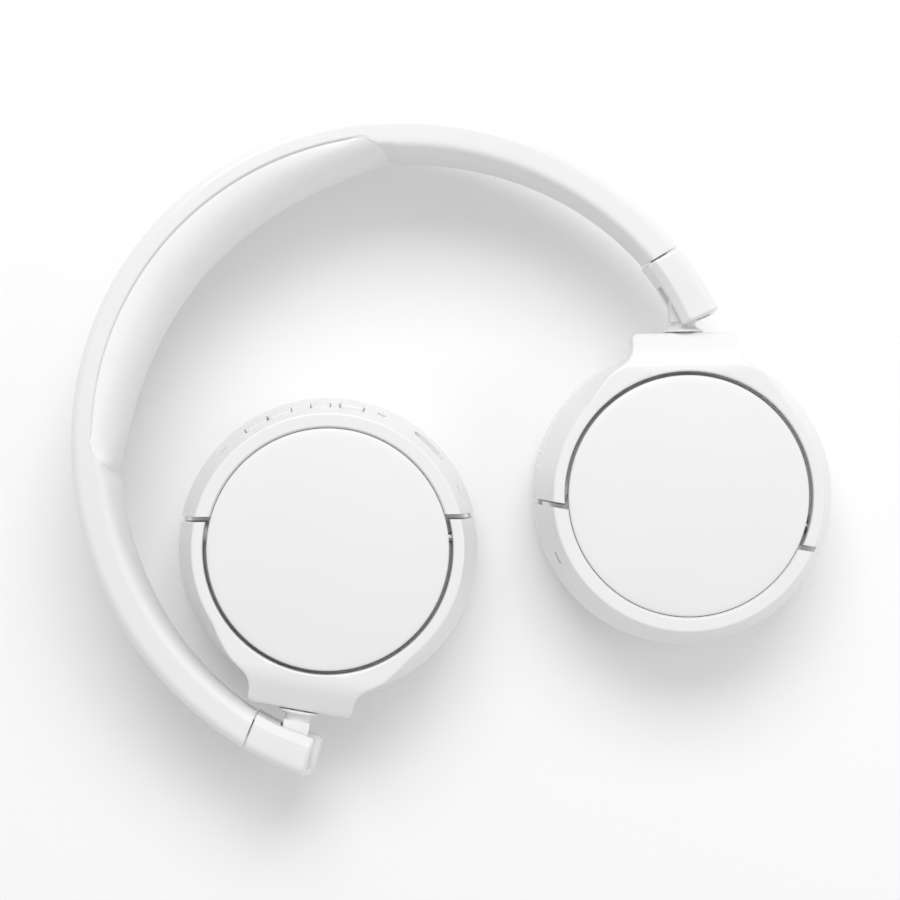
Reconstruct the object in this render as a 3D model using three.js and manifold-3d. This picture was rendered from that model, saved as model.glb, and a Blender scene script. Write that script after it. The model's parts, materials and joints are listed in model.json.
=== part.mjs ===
// Foldable wireless headphones, lying flat: the left ear cup is folded fully inside the headband and
// the right one is folded part of the way. Millimetres, +Z up, the ear cushions rest on z = 0.
import * as THREE from 'three';
import * as BufferGeometryUtils from 'three/addons/utils/BufferGeometryUtils.js';
import Module from 'manifold-3d';

const wasm = await Module();
wasm.setup();

// ---------------------------------------------------------------- driving dimensions
const BAND_PLANE = 22;            // height of the headband's middle plane, where the hinges turn
const CROWN_RADIUS = 78.4;        // outer face of the headband over the crown
const SIDE_RADIUS = 86.4;         // outer face of the headband down each side
const CROWN_HALF_ANGLE = 30;      // degrees of crown arc on each side of the middle
const PART_LINE = 99.2;           // degrees, where the headband ends and the slider end starts
const SLIDER_END = 111.6;         // degrees, end face of the slider
const CROWN_WIDTH = 35;           // headband width (along Z) over the crown
const WIDTH_AT_PART_LINE = 19;
const WIDTH_AT_END = 16.5;
const SHELL_DEPTH = 6;            // radial depth of the outer shell's side walls
const WALL = 1.8;
const LINER_DEPTH = 9;            // outer face to inner face beside the cushion
const CUSHION_HALF_ANGLE = 46;
const CUSHION_DEPTH = 16;         // outer face to the cushion's inner face, at the crown
const GAP = 0.3;                  // clearance between neighbouring pieces
const SLIDE_TANGENT = 93.9;       // degrees, where the straight slider strip is tangent
const STRIP_RADIUS = 81;
const PIN_ANGLE = 106.6;          // hinge pin, degrees round the side arc
const PIN_RADIUS_ON_ARC = 80.7;
const NECK_LENGTH = 49.2;         // hinge pin to ear cup centre
const UNFOLDED_ANGLE = 105.5;     // direction of an unfolded cup, degrees round from the crown
const LEFT_FOLD = 105.3;          // how far the left cup is folded in
const RIGHT_FOLD = 32.5;          // how far the right cup is folded in
const PAD_RADIUS = 37.7;
const PAD_OPENING = 17;
const PAD_TOP = 12.4;
const BAFFLE_BOTTOM = 13.9;
const BAFFLE_TOP = 15.2;
const DRUM_RADIUS = 29.3;
const DRUM_BOTTOM = 15.5;
const DRUM_TOP = 27.6;
const FRONT = 30;                 // height of the flat front ring round the cap
const YOKE_BOTTOM = 18.2;
const PIVOT_HEIGHT = 24;
const PIVOT_OFFSET = -3.33;       // tilt axis, away from the neck
const PIVOT_SKEW = -9.2;          // degrees in the plane of the cup
const PIN_DIAMETER = 3;
const CHORD_SKEW = -10.8;         // the straight line on which the yoke's arms end
const CHORD_OFFSET = -7.7;
const NOTCH = 1.7;                // between an arm's end and the housing
const SCREW_CIRCLE = 24;

const rad = THREE.MathUtils.degToRad;

// ---------------------------------------------------------------- materials
const material = (color, roughness, metalness) =>
  new THREE.MeshStandardMaterial({ color, roughness, metalness });
const whiteShell = material(0xf2f2f3, 0.32, 0);
const whiteSatin = material(0xf0f0f1, 0.45, 0);
const whiteLeather = material(0xf4f4f4, 0.6, 0);
const steel = material(0xb9bcc0, 0.35, 1);
const darkPlastic = material(0x55575a, 0.5, 0);
const blackCloth = material(0x1d1e20, 0.9, 0);
const boardGreen = material(0x1f5a3c, 0.5, 0);
const batteryFoil = material(0x8e9398, 0.4, 0.6);
const membrane = material(0xcfd2d4, 0.35, 0);
const lamp = material(0xdfe9f5, 0.2, 0);

// ---------------------------------------------------------------- solids
const toManifold = (geometry) => {
  const bare = geometry.clone();
  bare.deleteAttribute('normal');
  bare.deleteAttribute('uv');
  const merged = BufferGeometryUtils.mergeVertices(bare, 1e-4);
  const vertProperties = new Float32Array(merged.attributes.position.array);
  const triVerts = new Uint32Array(merged.index.array);
  const mesh = new wasm.Mesh({ numProp: 3, vertProperties, triVerts });
  mesh.merge();
  return new wasm.Manifold(mesh);
};

const fromManifold = (solid) => {
  const mesh = solid.getMesh();
  const geometry = new THREE.BufferGeometry();
  const position = new Float32Array(mesh.numVert * 3);
  for (let i = 0; i < mesh.numVert; i++) {
    for (let k = 0; k < 3; k++) {
      position[3 * i + k] = mesh.vertProperties[mesh.numProp * i + k];
    }
  }
  geometry.setAttribute('position', new THREE.BufferAttribute(position, 3));
  geometry.setIndex(Array.from(mesh.triVerts));
  return outward(geometry);
};

// Turns the faces round if they point inwards.
function outward(geometry) {
  const p = geometry.attributes.position;
  const index = geometry.index.array;
  const [a, b, c] = [new THREE.Vector3(), new THREE.Vector3(), new THREE.Vector3()];
  let volume = 0;
  for (let i = 0; i < index.length; i += 3) {
    a.fromBufferAttribute(p, index[i]);
    b.fromBufferAttribute(p, index[i + 1]);
    c.fromBufferAttribute(p, index[i + 2]);
    volume += a.dot(b.cross(c));
  }
  if (volume < 0) {
    for (let i = 0; i < index.length; i += 3) {
      [index[i], index[i + 1]] = [index[i + 1], index[i]];
    }
  }
  geometry.computeVertexNormals();
  return geometry;
}

const cut = (geometry, ...tools) => {
  let solid = toManifold(geometry);
  for (const tool of tools) {
    solid = solid.subtract(toManifold(tool));
  }
  return fromManifold(solid);
};

const join = (...pieces) => {
  let solid = toManifold(pieces[0]);
  for (const piece of pieces.slice(1)) {
    solid = solid.add(toManifold(piece));
  }
  return fromManifold(solid);
};

const common = (a, b) => fromManifold(toManifold(a).intersect(toManifold(b)));

// The triangles that fill an outline, turned the same way round as the outline is.
const filled = (outline) => {
  const points = outline.map(([x, y]) => new THREE.Vector2(x, y));
  const way = THREE.ShapeUtils.area(points);
  return THREE.ShapeUtils.triangulateShape(points, []).map(([a, b, c]) => {
    const area = THREE.ShapeUtils.area([points[a], points[b], points[c]]);
    return area * way > 0 ? [a, b, c] : [a, c, b];
  });
};

// Joins a row of equal outlines into a closed solid. place(x, y, i) puts point (x, y) of outline i.
const loft = (outlines, place) => {
  const n = outlines[0].length;
  const position = [];
  const index = [];
  outlines.forEach((outline, i) => {
    for (const [x, y] of outline) {
      position.push(...place(x, y, i));
    }
  });
  for (let i = 0; i + 1 < outlines.length; i++) {
    for (let j = 0; j < n; j++) {
      const a = i * n + j;
      const b = i * n + ((j + 1) % n);
      index.push(a, b, b + n, a, b + n, a + n);
    }
  }
  const last = (outlines.length - 1) * n;
  for (const [a, b, c] of filled(outlines[0])) {
    index.push(c, b, a);
  }
  for (const [a, b, c] of filled(outlines.at(-1))) {
    index.push(last + a, last + b, last + c);
  }
  const geometry = new THREE.BufferGeometry();
  geometry.setAttribute('position', new THREE.Float32BufferAttribute(position, 3));
  geometry.setIndex(index);
  return outward(geometry);
};

// A closed (radius, height) outline turned about Z between two angles in degrees.
const sector = (outline, from, to, step = 5) => {
  const count = Math.max(2, Math.ceil((to - from) / step) + 1);
  const outlines = Array(count).fill(outline);
  return loft(outlines, (r, z, i) => {
    const a = rad(from + ((to - from) * i) / (count - 1));
    return [r * Math.cos(a), r * Math.sin(a), z];
  });
};

// The same outline turned all the way round. It starts and ends on the axis, or closes on itself.
const turned = (outline, segments = 36) => {
  const points = outline.map(([r, z]) => new THREE.Vector2(r, z));
  if (outline[0][0] > 0 || outline.at(-1)[0] > 0) {
    points.push(points[0].clone());
  }
  const lathe = new THREE.LatheGeometry(points, segments);
  lathe.rotateX(Math.PI / 2);
  lathe.deleteAttribute('normal');
  lathe.deleteAttribute('uv');
  return outward(BufferGeometryUtils.mergeVertices(lathe, 1e-4));
};

const box = (x0, x1, y0, y1, z0, z1) => {
  const geometry = new THREE.BoxGeometry(x1 - x0, y1 - y0, z1 - z0);
  return geometry.translate((x0 + x1) / 2, (y0 + y1) / 2, (z0 + z1) / 2);
};

// A round bar from one point to another.
const bar = (radius, from, to, segments = 12) => {
  const a = new THREE.Vector3(...from);
  const b = new THREE.Vector3(...to);
  const geometry = new THREE.CylinderGeometry(radius, radius, a.distanceTo(b), segments);
  const turn = new THREE.Quaternion().setFromUnitVectors(
    new THREE.Vector3(0, 1, 0),
    b.clone().sub(a).normalize(),
  );
  geometry.applyQuaternion(turn);
  return geometry.translate((a.x + b.x) / 2, (a.y + b.y) / 2, (a.z + b.z) / 2);
};

const mirrored = (geometry) => {
  const copy = geometry.clone().applyMatrix4(new THREE.Matrix4().makeScale(-1, 1, 1));
  copy.deleteAttribute('normal');
  copy.deleteAttribute('uv');
  return outward(BufferGeometryUtils.mergeVertices(copy, 1e-5));
};

const root = new THREE.Group();
const addTo = (group, name, geometry, look) => {
  const mesh = new THREE.Mesh(geometry, look);
  mesh.name = name;
  group.add(mesh);
  return mesh;
};

// ---------------------------------------------------------------- headband line
// The crown is one arc and each side is a wider arc that meets it without a corner. An angle t is the
// direction of the outer face's normal, from +Y towards +X.
const sideCentre = (t) => {
  const offset = SIDE_RADIUS - CROWN_RADIUS;
  const a = rad(CROWN_HALF_ANGLE);
  return [-Math.sign(t) * offset * Math.sin(a), -offset * Math.cos(a)];
};

const onBand = (t, depth) => {
  const isCrown = Math.abs(t) <= CROWN_HALF_ANGLE;
  const [cx, cy] = isCrown ? [0, 0] : sideCentre(t);
  const r = (isCrown ? CROWN_RADIUS : SIDE_RADIUS) - depth;
  return [cx + r * Math.sin(rad(t)), cy + r * Math.cos(rad(t))];
};

const smooth = (a, b, x) => THREE.MathUtils.smoothstep(x, a, b);

const bandWidth = (t) => {
  const taper = smooth(30, PART_LINE, Math.abs(t));
  const end = smooth(PART_LINE, SLIDER_END, Math.abs(t));
  const width = CROWN_WIDTH + (WIDTH_AT_PART_LINE - CROWN_WIDTH) * taper;
  return width + (WIDTH_AT_END - WIDTH_AT_PART_LINE) * end;
};

const angles = (from, to, step) => {
  const count = Math.ceil((to - from) / step);
  return Array.from({ length: count + 1 }, (_, i) => from + ((to - from) * i) / count);
};

// Sweeps a (depth, z) outline along the band.
const alongBand = (list, outlineAt) =>
  loft(list.map(outlineAt), (depth, z, i) => {
    const [x, y] = onBand(list[i], depth);
    return [x, y, BAND_PLANE + z];
  });

const shellOutline = (t) => {
  const w = bandWidth(t) / 2;
  const inner = w - WALL;
  return [
    [SHELL_DEPTH, -w], [2.6, -w], [0.8, -w + 0.7], [0, -w + 3],
    [0, w - 3], [0.8, w - 0.7], [2.6, w], [SHELL_DEPTH, w],
    [SHELL_DEPTH, inner], [WALL, inner], [WALL, -inner], [SHELL_DEPTH, -inner],
  ];
};

const linerOutline = (t) => {
  const w = bandWidth(t) / 2;
  const raised = smooth(CUSHION_HALF_ANGLE + 0.9, CUSHION_HALF_ANGLE + 2.4, Math.abs(t));
  const depth = SHELL_DEPTH + GAP + 1.2 + (LINER_DEPTH - SHELL_DEPTH - GAP - 1.2) * raised;
  const slope = 2.2 * raised + 0.3;
  const start = SHELL_DEPTH + GAP;
  return [
    [start, -w], [start + 0.5, -w], [depth, -w + slope],
    [depth, w - slope], [start + 0.5, w], [start, w],
  ];
};

const cushionOutline = (t) => {
  const w = bandWidth(t) / 2 - 0.4;
  const start = SHELL_DEPTH + 2 * GAP + 1.2;
  const end = 1 - smooth(CUSHION_HALF_ANGLE - 12, CUSHION_HALF_ANGLE, Math.abs(t));
  const depth = start + (CUSHION_DEPTH - start) * (0.45 + 0.55 * end);
  const middle = (start + depth) / 2;
  return [
    [start, -w + 0.8], [middle - 1.4, -w], [middle + 0.4, -w + 0.9], [depth - 1.4, -w + 4.6],
    [depth, -w + 10.5], [depth, w - 10.5], [depth - 1.4, w - 4.6], [middle + 0.4, w - 0.9],
    [middle - 1.4, w], [start, w - 0.8],
  ];
};

addTo(root, 'headband_shell', alongBand(angles(-PART_LINE, PART_LINE, 5), shellOutline), whiteShell);

const linerAngles = [
  ...angles(-PART_LINE, -CUSHION_HALF_ANGLE - 2.4, 6),
  -CUSHION_HALF_ANGLE - 1.6,
  ...angles(-CUSHION_HALF_ANGLE - 0.9, CUSHION_HALF_ANGLE + 0.9, 6),
  CUSHION_HALF_ANGLE + 1.6,
  ...angles(CUSHION_HALF_ANGLE + 2.4, PART_LINE, 6),
];
addTo(root, 'headband_liner', alongBand(linerAngles, linerOutline), whiteSatin);

const cushionAngles = angles(-CUSHION_HALF_ANGLE, CUSHION_HALF_ANGLE, 5);
addTo(root, 'headband_cushion', alongBand(cushionAngles, cushionOutline), whiteLeather);

const springOutline = () => [[3.4, -7], [4.2, -7], [4.2, 7], [3.4, 7]];
addTo(root, 'headband_spring_strip', alongBand(angles(-62, 62, 6), springOutline), steel);

// ---------------------------------------------------------------- sliders
// Everything on the right is made once and mirrored for the left. The strip is straight, so it slides
// along the tangent at SLIDE_TANGENT.
const tangentPoint = () => {
  const [cx, cy] = sideCentre(1);
  const a = rad(SLIDE_TANGENT);
  return [cx + STRIP_RADIUS * Math.sin(a), cy + STRIP_RADIUS * Math.cos(a)];
};

// A box laid along the strip: s is distance along it, towards the end.
const stripBox = (s0, s1, thickness, width) => {
  const geometry = new THREE.BoxGeometry(thickness, s1 - s0, width);
  geometry.translate(0, -(s0 + s1) / 2, 0);
  geometry.rotateZ(rad(90 - SLIDE_TANGENT));
  const [x, y] = tangentPoint();
  return geometry.translate(x, y, BAND_PLANE);
};

const pinPoint = () => {
  const [cx, cy] = sideCentre(1);
  const a = rad(PIN_ANGLE);
  return [cx + PIN_RADIUS_ON_ARC * Math.sin(a), cy + PIN_RADIUS_ON_ARC * Math.cos(a)];
};

const SLOT_HALF_WIDTH = 3.8;
const KNUCKLE = 3.2;

const endOutline = (t) => {
  const w = bandWidth(t) / 2;
  const depth = LINER_DEPTH + 0.7 * smooth(PART_LINE, SLIDER_END, t);
  return [
    [depth - 1.2, -w], [2.6, -w], [0.8, -w + 0.7], [0, -w + 3],
    [0, w - 3], [0.8, w - 0.7], [2.6, w], [depth - 1.2, w],
    [depth, w - 1.6], [depth, -w + 1.6],
  ];
};

// The end of the slider is rounded off in its last step.
const endBlock = () => {
  const list = [...angles(PART_LINE + 0.22, SLIDER_END - 0.7, 2), SLIDER_END];
  const outlines = list.map(endOutline);
  outlines[outlines.length - 1] = outlines.at(-1).map(([depth, z]) => [
    5 + (depth - 5) * 0.88,
    z * 0.93,
  ]);
  return loft(outlines, (depth, z, i) => {
    const [x, y] = onBand(list[i], depth);
    return [x, y, BAND_PLANE + z];
  });
};

// The slot lets the hinge stem swing from straight out of the end to across the inner face.
const hingeSlot = () => {
  const [px, py] = pinPoint();
  const z = SLOT_HALF_WIDTH;
  const slot = box(-30, KNUCKLE + 0.3, -12, 4.9, -z, z);
  slot.rotateZ(rad(90 - PIN_ANGLE));
  return slot.translate(px, py, BAND_PLANE);
};

const sliderHousing = () => {
  const [px, py] = pinPoint();
  const r = PIN_DIAMETER / 2 + GAP;
  const bore = bar(r, [px, py, BAND_PLANE - 7], [px, py, BAND_PLANE + 7]);
  const pocket = stripBox(-2, 12.4, 1.8, 10.6);
  return cut(endBlock(), hingeSlot(), bore, pocket);
};

const guideOutline = (t) => {
  const w = bandWidth(t) / 2 - WALL - GAP;
  return [[WALL + GAP, -w], [WALL + GAP, w], [SHELL_DEPTH, w], [SHELL_DEPTH, -w]];
};

const sliderGuide = () =>
  cut(alongBand(angles(88, PART_LINE - 0.3, 2), guideOutline), stripBox(-30, 30, 1.8, 10.6));

const hingePin = () => {
  const [px, py] = pinPoint();
  return bar(PIN_DIAMETER / 2, [px, py, BAND_PLANE - 6.7], [px, py, BAND_PLANE + 6.7]);
};

const sliderPieces = [
  ['slider_guide', sliderGuide(), whiteSatin],
  ['slider_strip', stripBox(-20, 11.8, 1.2, 10), steel],
  ['slider_end', sliderHousing(), whiteShell],
  ['hinge_pin', hingePin(), steel],
];
for (const [name, geometry, look] of sliderPieces) {
  addTo(root, `right_${name}`, geometry, look);
  addTo(root, `left_${name}`, mirrored(geometry), look);
}

// ---------------------------------------------------------------- hinge stem and yoke, in the cup's frame
// Cup frame: origin at the cup's centre on the table, +Y towards the hinge, +Z out of the cap.
const stemBody = () => {
  const z0 = BAND_PLANE - SLOT_HALF_WIDTH + GAP;
  const z1 = BAND_PLANE + SLOT_HALF_WIDTH - GAP;
  const foot = turned([[0, 0], [5, 0], [5, 0.5], [4.2, 0.8], [3.2, 1.35], [3.2, 4.5], [0, 4.5]], 20);
  foot.rotateX(-Math.PI / 2);
  foot.translate(0, NECK_LENGTH - 8.8, BAND_PLANE);
  const tongue = box(-KNUCKLE, KNUCKLE, NECK_LENGTH - 6.4, NECK_LENGTH, z0, z1);
  const knuckle = bar(KNUCKLE, [0, NECK_LENGTH, z0], [0, NECK_LENGTH, z1], 20);
  const r = PIN_DIAMETER / 2 + GAP;
  const pinBore = bar(r, [0, NECK_LENGTH, z0 - 1], [0, NECK_LENGTH, z1 + 1]);
  const postBore = bar(2.6, [0, NECK_LENGTH - 9.6, BAND_PLANE], [0, NECK_LENGTH - 4, BAND_PLANE]);
  return cut(join(foot, tongue, knuckle), pinBore, postBore);
};

const NECK_TOP = NECK_LENGTH - 9.1;
const yokeWall = [
  [30.5, FRONT - 0.3], [30.8, FRONT], [32.8, FRONT], [33.4, FRONT - 0.5],
  [36.9, YOKE_BOTTOM + 0.5], [36.6, YOKE_BOTTOM], [33.5, YOKE_BOTTOM], [30.5, 27.2],
];

// A block on one side of the line where the yoke's arms end: low and high are distances from the cup's
// centre, towards the neck.
const besideChord = (low, high) => {
  const block = box(-45, 45, low, high, 10, 35);
  return block.rotateZ(rad(CHORD_SKEW));
};

// Plan outline of the neck: square top corners slightly rounded, sides that flare into the arms.
const neckPlan = () => {
  const half = [[23, 24.5], [20, 29.3], [17.2, 31.3], [14.9, 32.9], [13.5, 34.5], [13, 36.4]];
  half.push([13, NECK_TOP - 1.4], [12.6, NECK_TOP - 0.4], [11.6, NECK_TOP]);
  const other = half.map(([x, y]) => [-x, y]).reverse();
  return new THREE.Shape([...half, ...other].map(([x, y]) => new THREE.Vector2(x, y)));
};

const yokeBody = () => {
  const ring = cut(sector(yokeWall, -32, 192, 8), besideChord(-50, CHORD_OFFSET + NOTCH / 2));
  const height = FRONT - YOKE_BOTTOM;
  const neck = new THREE.ExtrudeGeometry(neckPlan(), { depth: height, bevelEnabled: false });
  neck.translate(0, 0, YOKE_BOTTOM);
  // The neck's front slopes down towards its top edge.
  const profile = new THREE.Shape([
    new THREE.Vector2(20, 17), new THREE.Vector2(NECK_TOP + 1, 17),
    new THREE.Vector2(NECK_TOP + 1, 25.4), new THREE.Vector2(NECK_TOP - 0.6, 26.1),
    new THREE.Vector2(36.4, 28), new THREE.Vector2(33.6, 29.5),
    new THREE.Vector2(31.4, FRONT), new THREE.Vector2(20, FRONT),
  ]);
  const slab = new THREE.ExtrudeGeometry(profile, { depth: 60, bevelEnabled: false });
  slab.applyMatrix4(new THREE.Matrix4().makeBasis(
    new THREE.Vector3(0, 1, 0),
    new THREE.Vector3(0, 0, 1),
    new THREE.Vector3(1, 0, 0),
  ));
  slab.translate(-30, 0, 0);
  const hollow = turned([
    [0, 17], [33.5 + (1.2 * 3) / 9, 17], [33.5, YOKE_BOTTOM], [30.5, 27.2], [30.5, 31], [0, 31],
  ], 40);
  const bosses = pivotEnds().map(([a, b]) => bar(2.8, a(29.9), b(32.6)));
  const bores = pivotEnds().map(([a, b]) => bar(PIN_DIAMETER / 2 + GAP, a(28), b(33.2)));
  const post = bar(2.6, [0, 28, BAND_PLANE], [0, NECK_TOP + 1, BAND_PLANE]);
  const pocket = bar(4.2, [0, 28, BAND_PLANE], [0, 33.2, BAND_PLANE]);
  const block = cut(common(neck, slab), hollow);
  return cut(join(ring, block, ...bosses), ...bores, post, pocket);
};

// The two ends of the tilt axis, each as functions of the distance along it from the middle.
function pivotEnds() {
  const a = rad(PIVOT_SKEW);
  const at = (side) => (d) => [
    side * d * Math.cos(a),
    PIVOT_OFFSET + side * d * Math.sin(a),
    PIVOT_HEIGHT,
  ];
  return [[at(1), at(1)], [at(-1), at(-1)]];
}

const clipRing = () => {
  const ring = turned([[2.6, 0], [3.7, 0], [3.7, 0.9], [2.6, 0.9]], 12);
  ring.rotateX(-Math.PI / 2);
  return ring.translate(0, 31.7, BAND_PLANE);
};

// ---------------------------------------------------------------- ear cup, in the cup's frame
// Outer face of the lower wall at a height.
const wallRadius = (z) => 33.4 + ((FRONT - 0.5 - z) / (FRONT - 0.5 - DRUM_BOTTOM)) * 4;

const screwSpots = [50, 230].map((a) => [
  SCREW_CIRCLE * Math.cos(rad(a)),
  SCREW_CIRCLE * Math.sin(rad(a)),
]);

const housingBody = (openings) => {
  const drum = turned([
    [0, DRUM_TOP], [DRUM_RADIUS, DRUM_TOP], [DRUM_RADIUS, DRUM_BOTTOM], [27.6, DRUM_BOTTOM],
    [27.6, 26], [0, 26],
  ], 40);
  const start = CHORD_OFFSET - NOTCH / 2;
  const rim = [
    [29.95, FRONT - 0.2], [30.1, FRONT], [32.8, FRONT], [33.4, FRONT - 0.5],
    [wallRadius(DRUM_BOTTOM), DRUM_BOTTOM],
  ];
  const hollowRim = [...rim, [34.5, DRUM_BOTTOM], [31.7, 26], [28.4, 26], [28.4, DRUM_TOP], [29.95, DRUM_TOP]];
  const solidRim = [...rim, [28.4, DRUM_BOTTOM], [28.4, DRUM_TOP], [29.95, DRUM_TOP]];
  const shell = cut(sector(hollowRim, 176, 342, 8), besideChord(start, 50));
  const ends = common(sector(solidRim, 176, 342, 8), besideChord(start - 1.5, start));
  const bosses = screwSpots.map(([x, y]) => bar(3, [x, y, DRUM_BOTTOM], [x, y, 26.5]));
  const holes = screwSpots.map(([x, y]) => bar(1.4, [x, y, 14], [x, y, 21.5], 16));
  const posts = [[14, 10], [-14, 10], [14, -10], [-14, -10]].map(([x, y]) =>
    bar(1.5, [x, y, 24.9], [x, y, 26.5], 12));
  const pivots = pivotEnds().map(([a, b]) => bar(PIN_DIAMETER / 2 + GAP, a(24), b(31)));
  const boss = pivotEnds().map(([a, b]) => bar(3, a(25.2), b(28.4)));
  const solid = join(drum, shell, ends, ...bosses, ...posts, ...boss);
  return cut(solid, ...holes, ...pivots, ...openings);
};

const capBody = () => turned([
  [0, DRUM_TOP + GAP], [29.2, DRUM_TOP + GAP], [29.6, DRUM_TOP + 0.7], [29.6, FRONT - 0.7],
  [29.2, FRONT - 0.2], [24, FRONT + 0.35], [16, FRONT + 0.8], [8, FRONT + 1.05], [0, FRONT + 1.1],
], 36);

const baffleBody = () => {
  const plate = turned([[16, BAFFLE_BOTTOM], [36, BAFFLE_BOTTOM], [36.3, BAFFLE_BOTTOM + 0.4],
    [36.2, BAFFLE_TOP], [16, BAFFLE_TOP]], 32);
  const holes = screwSpots.map(([x, y]) => bar(1.4, [x, y, 13], [x, y, 16], 16));
  const heads = screwSpots.map(([x, y]) => bar(2.2, [x, y, 13], [x, y, BAFFLE_BOTTOM + 0.7], 16));
  return cut(plate, ...holes, ...heads);
};

const screwBody = ([x, y]) => turned([
  [0, BAFFLE_BOTTOM - 0.1], [1.9, BAFFLE_BOTTOM - 0.1], [1.9, BAFFLE_BOTTOM + 0.4],
  [1.1, BAFFLE_BOTTOM + 0.4], [1.1, 20.5], [0, 21.2],
], 8).translate(x, y, 0);

const driverFrame = () => turned([
  [16.2, 15.5], [20, 15.5], [20, 17], [17.2, 17.4], [11.8, 20.6], [10.1, 20.6], [10.1, 19.4],
  [16.2, 16.8],
], 20);

const magnetBody = () => turned([[0, 17.8], [9.8, 17.8], [9.8, 21.6], [9.4, 22], [0, 22]], 16);

const diaphragm = () => turned([
  [0, 16.9], [5.5, 16.4], [8, 15.7], [13.5, 16.3], [15.8, 15.7], [15.8, 15.5], [13.5, 16],
  [8, 15.4], [5.5, 16], [0, 16.5],
], 18);

const padRing = () => turned([[18.4, 12.7], [35.4, 12.7], [35.4, 13.6], [18.4, 13.6]], 28);

const padBody = () => turned([
  [PAD_OPENING + 1, PAD_TOP], [PAD_OPENING - 0.2, 9], [PAD_OPENING + 0.2, 4.4],
  [PAD_OPENING + 3.2, 1], [PAD_OPENING + 7, 0], [29, 0], [33.6, 0.9], [36.6, 3.6],
  [PAD_RADIUS, 7], [37.4, 10.4], [36.4, PAD_TOP],
], 30);

const gridCloth = () => turned([[0, 14.1], [15.7, 14.1], [15.7, 14.7], [0, 14.7]], 20);

// A press button in the lower wall, between two angles; it stands proud of the wall by lift.
const BUTTON_LOW = 20.8;
const BUTTON_HIGH = 25;
const buttonBody = (from, to, lift) => sector([
  [31.3, BUTTON_LOW - 0.6], [31.3, BUTTON_HIGH + 0.6], [31.9, BUTTON_HIGH + 0.6],
  [31.9, BUTTON_HIGH], [wallRadius(BUTTON_HIGH) + lift - 0.3, BUTTON_HIGH],
  [wallRadius(BUTTON_HIGH - 0.5) + lift, BUTTON_HIGH - 0.5],
  [wallRadius(BUTTON_LOW + 0.5) + lift, BUTTON_LOW + 0.5],
  [wallRadius(BUTTON_LOW) + lift - 0.3, BUTTON_LOW], [31.9, BUTTON_LOW],
  [31.9, BUTTON_LOW - 0.6],
], from, to, 5);

const buttonHole = (from, to) => sector([
  [31.4, BUTTON_LOW - GAP], [31.4, BUTTON_HIGH + GAP],
  [38, BUTTON_HIGH + GAP], [38, BUTTON_LOW - GAP],
], from - 0.55, to + 0.55, 5);

// Clears the space behind the wall where the buttons' flanges sit.
const flangeRoom = (from, to) => sector([
  [30.9, BUTTON_LOW - 0.9], [30.9, BUTTON_HIGH + 0.95], [32.2, BUTTON_HIGH + 0.95],
  [32.2, BUTTON_LOW - 0.9],
], from - 0.55, to + 0.55, 5);

// Places a piece made along +X (outwards) at an angle round the cup.
const aimed = (geometry, angle, z) => {
  const copy = geometry.clone();
  copy.rotateZ(rad(angle));
  return copy.translate(0, 0, z);
};

const roundedBox = (length, width, height, radius) => {
  const w = width / 2 - radius;
  const h = height / 2 - radius;
  const shape = new THREE.Shape();
  shape.absarc(w, h, radius, 0, Math.PI / 2);
  shape.absarc(-w, h, radius, Math.PI / 2, Math.PI);
  shape.absarc(-w, -h, radius, Math.PI, 1.5 * Math.PI);
  shape.absarc(w, -h, radius, 1.5 * Math.PI, 2 * Math.PI);
  const geometry = new THREE.ExtrudeGeometry(shape, {
    depth: length, bevelEnabled: false, curveSegments: 3,
  });
  // Width along Y, height along Z, length along X.
  geometry.applyMatrix4(new THREE.Matrix4().makeBasis(
    new THREE.Vector3(0, 1, 0),
    new THREE.Vector3(0, 0, 1),
    new THREE.Vector3(1, 0, 0),
  ));
  return geometry;
};

const CHARGE_HEIGHT = 21.4;
const chargeSocket = () => {
  const shell = roundedBox(6.6, 8.9, 3.2, 1.5).translate(27.8, 0, 0);
  const mouth = roundedBox(6, 8.3, 2.6, 1.25).translate(28.8, 0, 0);
  return join(cut(shell, mouth), box(28, 33.6, -3.2, 3.2, -0.35, 0.35));
};

// ---------------------------------------------------------------- left and right cups
const MIRROR = 180;
const left = (angle) => MIRROR - angle;

// Controls on the left cup, given in the mirrored (right-hand) frame's angles.
const controls = [
  ['volume_up_button', left(315.2), left(305.6), 0.45],
  ['volume_down_button', left(304.8), left(295.2), 0.45],
  ['power_button', left(287), left(279.5), 0.25],
  ['play_button', left(275.3), left(266), 1],
].map(([name, a, b, lift]) => [name, a + 360, b + 360, lift]);
const chargeAngle = left(235.8) + 360;
const lampAngle = left(258.5) + 360;
const micAngles = [left(213.9) + 360, left(327.6) + 360];
const RIGHT_MIC_ANGLE = 205;

const micInsert = () => box(33.4, wallRadius(23) - 0.15, -1.3, 1.3, -0.45, 0.45);
const micHole = () => box(31, 38, -1.6, 1.6, -0.75, 0.75);
const lampBody = () => bar(0.9, [31, 0, 0], [wallRadius(22.4) + 0.05, 0, 0], 16);

const leftOpenings = [
  ...controls.map(([, a, b]) => buttonHole(a, b)),
  ...controls.map(([, a, b]) => flangeRoom(a, b)),
  aimed(roundedBox(14, 9.6, 3.9, 1.8).translate(26.5, 0, 0), chargeAngle, CHARGE_HEIGHT),
  aimed(bar(1.2, [30, 0, 0], [38, 0, 0], 16), lampAngle, 22.4),
  ...micAngles.map((a) => aimed(micHole(), a, 23)),
];
const rightOpenings = [aimed(micHole(), RIGHT_MIC_ANGLE, 23)];

const buttonBoard = () => sector([
  [29.7, 20.4], [29.7, 25.4], [30.5, 25.4], [30.5, 20.4],
], controls[0][1] - 2, controls[3][2] + 2, 4);

const mainBoard = () => cut(
  box(-16, 16, -12, 12, 23.2, 24.5),
  ...screwSpots.map(([x, y]) => bar(3.4, [x, y, 22], [x, y, 26])),
);

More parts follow.
